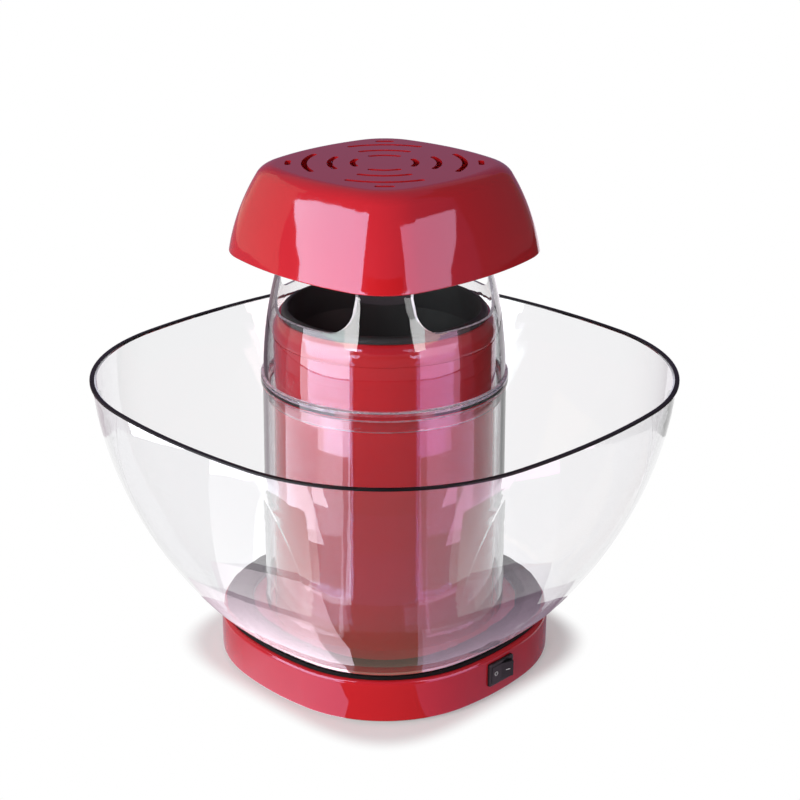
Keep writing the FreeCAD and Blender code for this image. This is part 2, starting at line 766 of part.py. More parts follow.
def switch_rocker():
    """A rocker with two sloping faces, tipped so that its left half lies level with the bezel."""
    body = sub_part("switch_rocker")
    sketch = sketch_on(body, "XY_Plane", "rocker_outline")
    edge = "(rocker_face + rocker_half_width*tan(rocker_slope))"
    outline(sketch, [
        ("0", "-rocker_face"), ("rocker_half_width", f"-{edge}"), ("rocker_half_width", "rocker_flank"),
        ("rocker_tail_half_width", "rocker_tail"), ("-rocker_tail_half_width", "rocker_tail"),
        ("-rocker_half_width", "rocker_flank"), ("-rocker_half_width", f"-{edge}"),
    ])
    pad(body, sketch, "rocker", "rocker_height", both=True)
    sketch = sketch_on(body, "XY_Plane", "pivot_circle")
    circle(sketch, "0", "0", "trunnion_radius")
    pad(body, sketch, "trunnions", "2*trunnion_reach", both=True)
    body.Placement = FreeCAD.Placement(Vector(), FreeCAD.Rotation(Vector(0, 0, 1), 0))
    bind(body, "Placement.Base.y", "-(base_half_side - bezel_recess + bezel_thickness - rocker_pivot_depth)")
    bind(body, "Placement.Base.z", "switch_z")
    bind(body, "Placement.Rotation.Angle", "-rocker_slope")


def switch_terminals():
    body = sub_part("switch_terminals")
    back = "base_half_side - bezel_recess - switch_body_depth"
    sketch = sketch_on(body, "XZ_Plane", "blade_outlines", back)
    for sign in ("", "-"):
        middle = f"{sign}terminal_place"
        rectangle(sketch, f"{middle} - terminal_thickness/2", f"{middle} + terminal_thickness/2",
                  "switch_z - terminal_width/2", "switch_z + terminal_width/2")
    pad(body, sketch, "blades", "terminal_length", down=True)


def cord_gland():
    """A flanged bush in the rear wall, where the mains lead would come in."""
    body = sub_part("cord_gland")
    face = "-base_half_side"
    sketch = sketch_on(body, "XZ_Plane", "flange_circle", face)
    circle(sketch, "0", "gland_z", "gland_flange_radius")
    pad(body, sketch, "flange", "gland_flange_thickness", down=True)
    sketch = sketch_on(body, "XZ_Plane", "barrel_circle", face)
    circle(sketch, "0", "gland_z", "gland_barrel_radius")
    pad(body, sketch, "barrel", "base_wall + gland_barrel_reach")
    sketch = sketch_on(body, "XZ_Plane", "bore_circle", f"{face} - gland_flange_thickness - cut_margin")
    circle(sketch, "0", "gland_z", "gland_bore_radius")
    length = "gland_flange_thickness + base_wall + gland_barrel_reach"
    pocket(body, sketch, "bore", f"{length} + 2*cut_margin", along=True)


# Tower and the works inside it

def tower_housing():
    body = sub_part("tower_housing")
    inner_foot = "tower_foot_radius - tower_wall"
    inner_top = "tower_top_radius - tower_wall"
    mouth = "funnel_mouth_radius + 2*loose_gap"
    revolve(body, "column", [
        (inner_foot, "base_top_z"), ("tower_foot_radius", "base_top_z"),
        ("tower_top_radius", "tower_seam_z", "tower_shoulder", 1),
        ("tower_rim_radius", "tower_rim_z"), (mouth, "tower_rim_z"),
        (mouth, "tower_rim_z - tower_wall"), (inner_top, "tower_seam_z - tower_wall"),
    ])
    seam_floor = "tower_top_radius - seam_depth"
    seam_mouth = "tower_top_radius + cut_margin"
    seam_low = "tower_seam_z - seam_half_height"
    seam_high = "tower_seam_z + seam_half_height"
    groove(body, "seam", [
        (seam_floor, seam_low), (seam_mouth, seam_low), (seam_mouth, seam_high), (seam_floor, seam_high),
    ])
    sketch = sketch_on(body, "XY_Plane", "boss_circle", "base_top_z")
    circle(sketch, "tower_screw_place", "0", "boss_radius")
    boss = pad(body, sketch, "boss", "tower_boss_height")
    polar(body, [boss], "bosses", QUARTERS)
    sketch = sketch_on(body, "XY_Plane", "pilot_circle", "base_top_z")
    circle(sketch, "tower_screw_place", "0", "screw_radius")
    hole = pocket(body, sketch, "pilot", "screw_length", along=True)
    polar(body, [hole], "pilots", QUARTERS)


def fan_housing():
    """A duct that stands on the deck and carries the motor on a four-spoked spider."""
    body = sub_part("fan_housing")
    inner = "(duct_radius - duct_wall)"
    revolve(body, "duct", [
        (inner, "base_top_z"), ("duct_flange_radius", "base_top_z"),
        ("duct_flange_radius", "base_top_z + duct_flange_thickness"),
        ("duct_radius", "base_top_z + duct_flange_thickness"), ("duct_radius", "duct_top_z"),
        (inner, "duct_top_z"),
    ])
    sketch = sketch_on(body, "XY_Plane", "hub_circles", "spider_z")
    circle(sketch, "0", "0", "spider_hub_radius")
    circle(sketch, "0", "0", "motor_boss_radius + loose_gap")
    pad(body, sketch, "hub", "spider_thickness")
    sketch = sketch_on(body, "XY_Plane", "spoke_outline", "spider_z")
    rectangle(sketch, "spider_hub_radius - joint_overlap", f"{inner} + joint_overlap",
              "-spoke_width/2", "spoke_width/2")
    spoke = pad(body, sketch, "spoke", "spider_thickness")
    polar(body, [spoke], "spokes", QUARTERS)
    sketch = sketch_on(body, "XY_Plane", "screw_circles", "spider_z")
    circle(sketch, "motor_screw_place", "0", "motor_screw_radius + loose_gap")
    circle(sketch, "-motor_screw_place", "0", "motor_screw_radius + loose_gap")
    pocket(body, sketch, "motor_holes", "spider_thickness", along=True)
    sketch = sketch_on(body, "XY_Plane", "flange_circles", "base_top_z")
    circles(sketch, square_places("housing_screw_place"), "screw_radius + loose_gap")
    pocket(body, sketch, "flange_holes", "duct_flange_thickness", along=True)


def motor_can():
    body = sub_part("motor_can")
    inner = "motor_radius - motor_wall"
    bore = "bush_radius + press_gap"
    revolve(body, "can", [
        (inner, "motor_bottom_z"), ("motor_radius", "motor_bottom_z"), ("motor_radius", "spider_z"),
        ("motor_boss_radius", "spider_z"), ("motor_boss_radius", "spider_z + motor_boss_height"),
        (bore, "spider_z + motor_boss_height"), (bore, "spider_z - motor_wall"),
        (inner, "spider_z - motor_wall"),
    ])
    sketch = sketch_on(body, "XY_Plane", "screw_circles", "spider_z")
    circle(sketch, "motor_screw_place", "0", "motor_screw_radius")
    circle(sketch, "-motor_screw_place", "0", "motor_screw_radius")
    pocket(body, sketch, "screw_holes", "motor_wall")


def motor_end_cap():
    body = sub_part("motor_end_cap")
    bore = "bush_radius + press_gap"
    revolve(body, "cap", [
        (bore, "motor_bottom_z - end_cap_thickness"), ("motor_radius", "motor_bottom_z - end_cap_thickness"),
        ("motor_radius", "motor_bottom_z"), (bore, "motor_bottom_z"),
    ])


def motor_bushes():
    """Sintered bushes at both ends of the motor."""
    body = sub_part("motor_bushes")
    bore = "shaft_radius + shaft_gap"
    for name, low, high in (
        ("lower_bush", "motor_bottom_z - end_cap_thickness", "motor_bottom_z"),
        ("upper_bush", "spider_z - motor_wall", "spider_z + motor_boss_height"),
    ):
        revolve(body, name, [(bore, low), ("bush_radius", low), ("bush_radius", high), (bore, high)])


def motor_magnets():
    """Two arc magnets on the can's inner wall."""
    body = sub_part("motor_magnets")
    sketch = sketch_on(body, "XY_Plane", "magnet_outlines", "rotor_bottom_z")
    outer = "(motor_radius - motor_wall - press_gap)"
    inner = "magnet_inner_radius"
    for middle in ("0", "180"):
        low = f"({middle} - magnet_half_angle)"
        high = f"({middle} + magnet_half_angle)"
        outline(sketch, [
            (f"{outer}*cos({low})", f"{outer}*sin({low})", outer, 1),
            (f"{outer}*cos({high})", f"{outer}*sin({high})"),
            (f"{inner}*cos({high})", f"{inner}*sin({high})", inner, -1),
            (f"{inner}*cos({low})", f"{inner}*sin({low})"),
        ])
    pad(body, sketch, "magnets", "rotor_top_z - rotor_bottom_z")


def motor_screws():
    body = sub_part("motor_screws")
    seat = "spider_z + spider_thickness"
    heads = sketch_on(body, "XY_Plane", "head_circles", seat)
    shanks = sketch_on(body, "XY_Plane", "shank_circles", seat)
    for x_text in ("motor_screw_place", "-motor_screw_place"):
        circle(heads, x_text, "0", "2*motor_screw_radius")
        circle(shanks, x_text, "0", "motor_screw_radius - loose_gap")
    pad(body, heads, "heads", "motor_screw_head")
    pad(body, shanks, "shanks", "spider_thickness + motor_wall", down=True)


def rectifier_board():
    """A small board under the motor, with two diode packs on its lower face."""
    body = sub_part("rectifier_board")
    top = "motor_bottom_z - end_cap_thickness"
    sketch = sketch_on(body, "XY_Plane", "board_outline", top)
    rectangle(sketch, "-board_half_side", "board_half_side", "-board_half_side", "board_half_side")
    circle(sketch, "0", "0", "board_hole_radius")
    pad(body, sketch, "board", "board_thickness", down=True)
    sketch = sketch_on(body, "XZ_Plane", "diode_circles")
    for x_text in ("-diode_place", "diode_place"):
        circle(sketch, x_text, f"{top} - board_thickness - diode_drop", "diode_radius")
    pad(body, sketch, "diodes", "diode_length", both=True)


def motor_shaft():
    body = sub_part("motor_shaft")
    sketch = sketch_on(body, "XY_Plane", "shaft_circle", "shaft_bottom_z")
    circle(sketch, "0", "0", "shaft_radius")
    pad(body, sketch, "shaft", "shaft_top_z - shaft_bottom_z")


def motor_rotor():
    body = sub_part("motor_rotor")
    bore = "shaft_radius + press_gap"
    revolve(body, "laminations", [
        (bore, "rotor_bottom_z"), ("rotor_radius", "rotor_bottom_z"), ("rotor_radius", "rotor_top_z"),
        (bore, "rotor_top_z"),
    ])
    sketch = sketch_on(body, "XY_Plane", "slot_outline", "rotor_top_z")
    rectangle(sketch, "rotor_core_radius", "rotor_radius + cut_margin",
              "-rotor_slot_half_width", "rotor_slot_half_width")
    slot = pocket(body, sketch, "slot", "rotor_top_z - rotor_bottom_z")
    polar(body, [slot], "slots", ROTOR_SLOTS)


def fan_impeller():
    """A hub with twisted blades, which drives air up through the heater."""
    body = sub_part("fan_impeller")
    bore = "shaft_radius + press_gap"
    revolve(body, "hub", [
        (bore, "impeller_z"), ("hub_radius", "impeller_z"),
        ("hub_radius", "impeller_z + impeller_height - hub_chamfer"),
        ("hub_radius - hub_chamfer", "impeller_z + impeller_height"), (bore, "impeller_z + impeller_height"),
    ])
    middle = "impeller_z + impeller_height/2"
    sections = []
    for name, radius, chord, pitch in (
        ("root", "hub_radius - blade_sink", "blade_root_chord", "blade_root_pitch"),
        ("tip", "impeller_radius", "blade_tip_chord", "blade_tip_pitch"),
    ):
        sketch = sketch_on(body, "YZ_Plane", name + "_section", radius)
        shift_and_turn(sketch, middle, f"90 - {pitch}")
        rectangle(sketch, f"-{chord}/2", f"{chord}/2", "-blade_thickness/2", "blade_thickness/2")
        sections.append(sketch)
    blade = loft(body, "AdditiveLoft", "blade", sections)
    polar(body, [blade], "blades", BLADES)


def heater_housing():
    """A thin metal tube on the fan housing, with a lip at each end."""
    body = sub_part("heater_housing")
    outer = "duct_radius"
    inner = "(duct_radius - heater_wall)"
    revolve(body, "tube", [
        (inner, "duct_top_z"), ("heater_flange_radius", "duct_top_z"),
        ("heater_flange_radius", "duct_top_z + heater_lip"), (outer, "duct_top_z + heater_lip"),
        (outer, "heater_top_z - heater_lip"), ("heater_flange_radius", "heater_top_z - heater_lip"),
        ("heater_flange_radius", "heater_top_z"), (inner, "heater_top_z"),
    ])


def heater_boards():
    """Two crossed mica boards that stand on the fan housing's rim and hold the coil."""
    body = sub_part("heater_boards")
    foot_z = "duct_top_z"
    for name, role in (("first_board", "XZ_Plane"), ("second_board", "YZ_Plane")):
        sketch = sketch_on(body, role, name + "_outline")
        outline(sketch, [
            ("-mica_leg_half_width", foot_z), ("mica_leg_half_width", foot_z),
            ("mica_leg_half_width", f"{foot_z} + mica_leg_height"),
            ("mica_half_width", f"{foot_z} + mica_leg_height"), ("mica_half_width", "mica_top_z"),
            ("-mica_half_width", "mica_top_z"), ("-mica_half_width", f"{foot_z} + mica_leg_height"),
            ("-mica_leg_half_width", f"{foot_z} + mica_leg_height"),
        ])
        pad(body, sketch, name, "mica_thickness", both=True)


def heater_coil():
    """A flat resistance wire wound round the boards."""
    body = sub_part("heater_coil")
    sketch = sketch_on(body, "XZ_Plane", "wire_section")
    rectangle(sketch, "mica_half_width + press_gap", "mica_half_width + press_gap + coil_wire",
              "coil_bottom_z", "coil_bottom_z + coil_wire")
    feature = body.newObject("PartDesign::AdditiveHelix", "winding")
    feature.Profile = sketch
    feature.ReferenceAxis = (sketch, ["V_Axis"])
    feature.Mode = "pitch-turns-angle"
    bind(feature, "Pitch", "coil_pitch")
    bind(feature, "Turns", "coil_turns")
    settle(body, feature, True)


def thermostat():
    """A bimetal disc on the heater tube's outer face."""
    body = sub_part("thermostat")
    sketch = sketch_on(body, "YZ_Plane", "disc_circle", "duct_radius")
    circle(sketch, "0", "thermostat_z", "thermostat_radius")
    pad(body, sketch, "disc", "thermostat_depth")
    sketch = sketch_on(body, "YZ_Plane", "tab_outlines", "duct_radius + thermostat_tab_height")
    reach = "(thermostat_radius + thermostat_tab_reach)"
    rectangle(sketch, f"-{reach}", reach,
              "thermostat_z - thermostat_tab_half_width", "thermostat_z + thermostat_tab_half_width")
    pad(body, sketch, "tabs", "thermostat_tab_thickness")


def thermal_fuse():
    body = sub_part("thermal_fuse")
    sketch = sketch_on(body, "XY_Plane", "fuse_circle", "fuse_z")
    circle(sketch, "-(duct_radius + fuse_radius)", "0", "fuse_radius")
    pad(body, sketch, "fuse", "fuse_length")
    sketch = sketch_on(body, "XY_Plane", "lead_circle", "fuse_z - fuse_lead_length")
    circle(sketch, "-(duct_radius + fuse_radius)", "0", "fuse_lead_radius")
    pad(body, sketch, "leads", "fuse_length + 2*fuse_lead_length")


def popping_chamber():
    """A spun metal cup whose slanted slots set the kernels turning."""
    body = sub_part("popping_chamber")
    wall = "chamber_wall"
    outer = "chamber_radius"
    inner = f"(chamber_radius - {wall})"
    floor_z = "chamber_floor_z"
    corner = "chamber_corner"
    flat = f"{outer} - {corner} - chamber_flat"
    dome_edge = f"{floor_z} + chamber_dome_edge"
    dome_top = f"{floor_z} + chamber_dome_height"
    revolve(body, "cup", [
        ("0", dome_top), ("chamber_dome_radius", dome_edge), (flat, floor_z),
        (f"{outer} - {corner}", floor_z, corner, 1), (outer, f"{floor_z} + {corner}"),
        (outer, "heater_top_z"), ("chamber_flange_radius", "heater_top_z"),
        ("chamber_flange_radius", f"heater_top_z + {wall}"), (inner, f"heater_top_z + {wall}"),
        (inner, f"{floor_z} + {corner}", f"{corner} - {wall}", -1),
        (f"{outer} - {corner}", f"{floor_z} + {wall}"), (flat, f"{floor_z} + {wall}"),
        ("chamber_dome_radius", f"{dome_edge} + {wall}"), ("0", f"{dome_top} + {wall}"),
    ])
    sketch = sketch_on(body, "YZ_Plane", "slot_outline", "chamber_radius + cut_margin")
    shift_and_turn(sketch, "slot_z", "slot_lean")
    rectangle(sketch, "-slot_width/2", "slot_width/2", "-slot_length/2", "slot_length/2")
    slot = pocket(body, sketch, "slot", "slot_depth")
    polar(body, [slot], "slots", CHAMBER_SLOTS)


def chamber_seal():
    body = sub_part("chamber_seal")
    low = "heater_top_z + chamber_wall"
    high = f"{low} + seal_thickness"
    revolve(body, "ring", [
        ("chamber_radius", low), ("chamber_flange_radius", low), ("chamber_flange_radius", high),
        ("chamber_radius", high),
    ])


def funnel_collar():
    """The black lining from the chamber up to the tower's mouth, with a rounded lip that fills the red rim."""
    body = sub_part("funnel_collar")
    foot_z = "(heater_top_z + chamber_wall + seal_thickness)"
    wall = "funnel_wall"
    throat = f"(funnel_throat_radius - {wall})"
    neck_outer = f"(funnel_mouth_radius - {wall})"
    neck = f"(funnel_mouth_radius - 2*{wall})"
    shelf_z = "(tower_rim_z - tower_wall)"
    revolve(body, "lining", [
        (throat, foot_z), ("funnel_foot_radius", foot_z), ("funnel_foot_radius", f"{foot_z} + {wall}"),
        ("funnel_throat_radius", f"{foot_z} + {wall}"), (neck_outer, "funnel_bend_z"), (neck_outer, shelf_z),
        ("funnel_mouth_radius", shelf_z),
        ("funnel_mouth_radius", "funnel_top_z - funnel_lip_drop", "funnel_lip_round", 1),
        (f"{neck} + funnel_lip", "funnel_top_z", "funnel_lip", 1), (neck, "funnel_top_z - funnel_lip"),
        (neck, "funnel_bend_z"),
    ])


# Bowl, chimney and lid, which lift off

def bowl_sections(body, prefix, angles, inset):
    sections = []
    for index, angle in enumerate(angles):
        half_side, half_diag, side_radius = bowl_square(angle)
        shift = f"({inset})*sin({angle})"
        sketch = sketch_on(body, "XY_Plane", f"{prefix}_{index}", bowl_point(angle, inset)[1])
        inset_square(sketch, (half_side, half_diag, side_radius), shift)
        sections.append(sketch)
    return sections


def bowl():
    """A clear moulded ring bowl: its wall sweeps up from a flat foot, and a collar rises round the tower."""
    body = sub_part("bowl")
    for name, angles in BOWL_ARCS:
        loft(body, "AdditiveLoft", f"{name}_outside", bowl_sections(body, f"{name}_outer", angles, "0"))
    for name, angles in BOWL_ARCS:
        sections = bowl_sections(body, f"{name}_inner", angles, "bowl_wall")
        loft(body, "SubtractiveLoft", f"{name}_inside", sections)
    revolve(body, "collar", [
        ("collar_foot_radius - bowl_wall", "bowl_foot_z"), ("collar_foot_radius", "bowl_foot_z"),
        ("collar_top_radius", "collar_top_z"), ("collar_top_radius - bowl_wall", "collar_top_z"),
    ])
    groove(body, "tower_hole", [
        ("0", "bowl_foot_z - cut_margin"), ("collar_foot_radius - bowl_wall", "bowl_foot_z - cut_margin"),
        ("collar_foot_radius - bowl_wall", "bowl_foot_z"), ("collar_top_radius - bowl_wall", "collar_top_z"),
        ("0", "collar_top_z"),
    ])


def bowl_rim_trim():
    body = sub_part("bowl_rim_trim")
    rim = bowl_square("bowl_rim_angle")
    sketch = sketch_on(body, "XY_Plane", "lip_outline", BOWL_RIM_Z)
    inset_square(sketch, rim, "-rim_overhang")
    inset_square(sketch, rim, "rim_width - rim_overhang")
    pad(body, sketch, "lip", "rim_thickness")
    round_edges(body, "lip_edges", "rim_rounding", f"{BOWL_RIM_Z} + rim_thickness")


def chimney():
    """A clear bell on the bowl's collar, with four rounded windows that let the popcorn out."""
    body = sub_part("chimney")
    wall = "chimney_wall"
    inner_spigot = f"(spigot_radius - {wall})"
    inner_bell = f"(chimney_bell_radius - {wall})"
    revolve(body, "bell", [
        (inner_spigot, "spigot_bottom_z"), ("spigot_radius", "spigot_bottom_z"),
        ("spigot_radius", "collar_top_z"), ("flange_radius", "collar_top_z"),
        ("flange_radius", "chimney_foot_z - flange_rounding", "flange_rounding", 1),
        ("flange_radius - flange_rounding", "chimney_foot_z"),
        ("chimney_foot_radius", "chimney_foot_z", "chimney_bell_radius", 1),
        ("chimney_top_radius", "chimney_top_z"),
        (f"chimney_top_radius - {wall}", "chimney_top_z", inner_bell, -1),
        (f"chimney_foot_radius - {wall}", "chimney_foot_z"), (inner_spigot, "collar_top_z"),
    ])
    sketch = sketch_on(body, "XZ_Plane", "window_outline")
    rounded_rectangle(sketch, "window_half_width", "window_bottom_z", "window_top_z", "window_corner")
    window = pocket(body, sketch, "window", "2*chimney_foot_radius")
    polar(body, [window], "windows", QUARTERS)


def lid_sections(body, prefix, angles, inset):
    sections = []
    for index, angle in enumerate(angles):
        half_diag, height = lid_point(angle)
        half_side = f"({half_diag}*lid_ratio)"
        shape = (half_side, half_diag, f"({half_side}*lid_flatness)")
        sketch = sketch_on(body, "XY_Plane", f"{prefix}_{index}", lid_point(angle, inset)[1])
        inset_square(sketch, shape, f"({inset})*sin({angle})")
        sections.append(sketch)
    return sections


def lid():
    """A moulded cap with rounded-square sides, a vented top, and a ring and ribs that seat on the chimney."""
    body = sub_part("lid")
    for name, angles in LID_ARCS:
        loft(body, "AdditiveLoft", f"{name}_outside", lid_sections(body, f"{name}_outer", angles, "0"))
    for name, angles in LID_ARCS:
        sections = lid_sections(body, f"{name}_inner", angles, "lid_wall")
        loft(body, "SubtractiveLoft", f"{name}_inside", sections)
    round_edges(body, "edge", "lid_edge_rounding", lid_point("lid_edge_angle")[1])
    ceiling = "(lid_top_z - lid_wall + joint_overlap)"
    inner = "(lid_ring_radius - lid_ring_wall)"
    root = f"{inner} + joint_overlap"
    revolve(body, "ring", [
        (inner, "lid_ring_bottom_z"), ("lid_ring_radius", "lid_ring_bottom_z"),
        ("lid_ring_radius", ceiling), (inner, ceiling),
    ])
    sketch = sketch_on(body, "XZ_Plane", "rib_outline")
    outline(sketch, [
        (root, "chimney_top_z"), ("lid_rib_reach", "chimney_top_z"),
        ("lid_rib_reach", f"{ceiling} - lid_shoulder_radius/2"), (root, ceiling),
    ])
    rib = pad(body, sketch, "rib", "lid_rib_thickness", both=True)
    polar(body, [rib], "ribs", QUARTERS)
    sketch = sketch_on(body, "XY_Plane", "vent_outlines", "lid_top_z + cut_margin")
    for radius in ("vent_inner_radius", "vent_middle_radius", "vent_outer_radius"):
        arc_slot(sketch, radius, "vent_width", "vent_half_angle", "45")
    arc_slot(sketch, "vent_corner_radius", "vent_width", "vent_corner_half_angle", "45")
    vents = pocket(body, sketch, "vents", "lid_wall + 2*cut_margin")
    polar(body, [vents], "vent_groups", QUARTERS)


BUILDERS = (
    base_housing, bottom_cover, bowl_seat_ring, switch_bezel, switch_rocker, switch_terminals, cord_gland,
    tower_housing, fan_housing, motor_can, motor_end_cap, motor_bushes, motor_magnets, motor_screws,
    rectifier_board, motor_shaft, motor_rotor, fan_impeller, heater_housing, heater_boards, heater_coil,
    thermostat, thermal_fuse, popping_chamber, chamber_seal, funnel_collar, bowl, bowl_rim_trim, chimney, lid,
)

for build in BUILDERS:
    build()

for name, x_sign, y_sign in (
    ("foot_front_left", -1, -1), ("foot_front_right", 1, -1),
    ("foot_rear_left", -1, 1), ("foot_rear_right", 1, 1),
):
    foot(name, x_sign, y_sign)

screw_group("cover_screws", square_places("cover_screw_place"), "cover_bottom_z", True)
screw_group("tower_screws", axis_places("tower_screw_place"), DECK_BOTTOM_Z, True)
screw_group("housing_screws", square_places("housing_screw_place"),
            "base_top_z + duct_flange_thickness", False)

doc.recompute()

for item in doc.Objects:
    if "Invalid" in item.State or "Error" in item.State:
        raise RuntimeError(f"{item.Label} failed: {item.State}")

for body in SUB_PARTS:
    if body.Shape.isNull() or not body.Shape.isValid():
        raise RuntimeError(f"{body.Label} has no valid shape")

os.makedirs("parts", exist_ok=True)
for body in SUB_PARTS:
    body.Shape.exportStep(f"parts/{body.Label}.step")
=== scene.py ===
"""Looks of a hot-air popcorn maker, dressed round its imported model. Metres, +Z up."""
import math

import bpy
from mathutils import Matrix, Vector


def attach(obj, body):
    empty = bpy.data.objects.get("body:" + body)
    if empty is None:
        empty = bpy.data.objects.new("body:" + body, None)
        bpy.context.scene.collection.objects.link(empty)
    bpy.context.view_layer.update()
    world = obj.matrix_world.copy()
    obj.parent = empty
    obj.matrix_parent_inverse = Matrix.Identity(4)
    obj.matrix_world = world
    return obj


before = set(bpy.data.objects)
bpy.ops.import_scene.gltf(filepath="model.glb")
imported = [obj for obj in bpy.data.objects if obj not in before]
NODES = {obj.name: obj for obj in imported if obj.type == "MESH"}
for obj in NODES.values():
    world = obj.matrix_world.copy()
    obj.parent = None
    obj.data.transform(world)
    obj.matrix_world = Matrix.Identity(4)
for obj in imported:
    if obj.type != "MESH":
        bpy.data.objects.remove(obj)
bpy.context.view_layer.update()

MM = 0.001
MICRON = 1e-6

# Camera, as in the photograph's 800 by 800 frame
IMAGE_SIDE = 800
FOCAL_PIXELS = 1647.4
AIM_PIXEL_X = 384.5
AIM_PIXEL_Y = 417.9
AIM_POINT = Vector((0, 0, 0.152))
CAMERA_DISTANCE = 1.0
CAMERA_AZIMUTH = -45
CAMERA_ELEVATION = 22.05
SENSOR_WIDTH = 36

# World: its light, what the gloss mirrors past the cards, and what lies behind the object
WORLD_LIGHT = (0.20, 0.20, 0.21, 1)
SURROUNDINGS = (0.42, 0.31, 0.38, 1)
BACKGROUND = (1, 1, 1, 1)

# Floor: the share of it that glows like the background rises to all of it from the near to the far distance
FLOOR_RADIUS = 12.0
FLOOR_STEPS = 96
FLOOR_COLOUR = (0.86, 0.86, 0.87, 1)
FLOOR_NEAR = 0.095
FLOOR_FAR = 0.111
FLOOR_NEAR_GLOW = 0.3

# Upright cards: the steps along one, distances from the axis, and heights where cards start and meet
CARD_STEPS = 24
CARD_DISTANCE = 0.9
STRIP_DISTANCE = 0.3
POST_STRIP_DISTANCE = 0.105
CARD_BOTTOM = -0.4
FOOT_TOP = 0.2
FRONT_FOOT_TOP = 0.18

# Cards on the floor: the distances from the axis where they start and end
TABLE_START = 0.09
TABLE_SIDE_END = 0.135
TABLE_END = 0.19
POOL_START = 0.2
POOL_END = 0.45
FAR_POOL_END = 0.5

# Tints of the cards
WHITE = (1.0, 1.0, 1.0)
ICE = (0.89, 1.0, 1.0)
LAVENDER = (0.88, 0.84, 0.96)
SALMON = (1.0, 0.62, 0.66)
ORCHID = (1.0, 0.54, 0.86)
PALE_LILAC = (1.0, 0.95, 1.0)
VIOLET = (0.75, 0.6, 1.0)
BLUSH = (1.0, 0.9, 0.9)
CORAL = (1.0, 0.4, 0.5)
PEACH = (1.0, 0.75, 0.62)
PALE_ROSE = (1.0, 0.82, 0.92)
APRICOT = (1.0, 0.75, 0.6)
PINK = (1.0, 0.75, 0.95)

# Red plastic, and the tint of the light that it mirrors
RED_DARK = (0.55, 0.012, 0.017)
RED_LIGHT = (0.60, 0.016, 0.021)
RED_SHEEN = (0.55, 0.66, 1.0, 1)
RED_IOR = 1.53

# Clear plastic: its tints at the surface and through its thickness
CLEAR_IOR = 1.57
CLEAR_TINT = (0.985, 0.985, 0.992, 1)
CLEAR_DEPTH_TINT = (0.62, 0.62, 0.82, 1)
CLEAR_DENSITY = 7

# Shares that the clear plastic passes: of the lamps' light, and of what others and its own faces mirror
BOWL_LAMP_SHARE = 0.84
CHIMNEY_LAMP_SHARE = 0.88
MIRRORED_SHARE = 0.98
BOWL_INNER_SHARE = 0.8
CHIMNEY_INNER_SHARE = 0.08

# Cosine of the turn from straight outwards past which a face of the chimney is a cut edge
CUT_EDGE_LIMIT = 0.7

# Other plastics and metals
MOULDED_IOR = 1.5
METAL_MARK = 1.2 * MM
MICA_FLAKE = 2.5 * MM

# Rocker switch, as the model has it, and the marks on it
SWITCH_PIVOT = Vector((0, -97.3 * MM, 17.3 * MM))
ROCKER_FACE = 2.0 * MM
ROCKER_SLOPE = math.radians(9.5)
MARK_PLACE = 4.5 * MM
MARK_RADIUS = 1.45 * MM
MARK_STROKE = 0.5 * MM
MARK_HEIGHT = 0.06 * MM
MARK_STEPS = 40


def back_vector(azimuth, elevation):
    """Direction from the object to a place seen at that azimuth and elevation, in degrees."""
    turn = math.radians(azimuth)
    rise = math.radians(elevation)
    return Vector((math.sin(turn) * math.cos(rise), -math.cos(turn) * math.cos(rise), math.sin(rise)))


def circle(radius, steps):
    """Points of a circle round the origin of a plane."""
    turns = [step * math.tau / steps for step in range(steps)]
    return [(radius * math.cos(turn), radius * math.sin(turn)) for turn in turns]


def grid_faces(rows, columns):
    """Faces of a grid whose points are listed row by row."""
    faces = []
    for row in range(rows - 1):
        for column in range(columns - 1):
            start = row * columns + column
            faces.append((start, start + 1, start + columns + 1, start + columns))
    return faces


def add_object(name, data):
    item = bpy.data.objects.new(name, data)
    bpy.context.scene.collection.objects.link(item)
    return item


def add_mesh(name, points, faces, material):
    mesh = bpy.data.meshes.new(name)
    mesh.from_pydata(points, [], faces)
    mesh.update()
    mesh.materials.append(material)
    return add_object(name, mesh)


def mix_shaders(tree, factor, first, second):
    """A shader that goes from the first to the second as the factor goes from 0 to 1."""
    mix = tree.nodes.new("ShaderNodeMixShader")
    tree.links.new(factor, mix.inputs[0])
    tree.links.new(first.outputs[0], mix.inputs[1])
    tree.links.new(second.outputs[0], mix.inputs[2])
    return mix


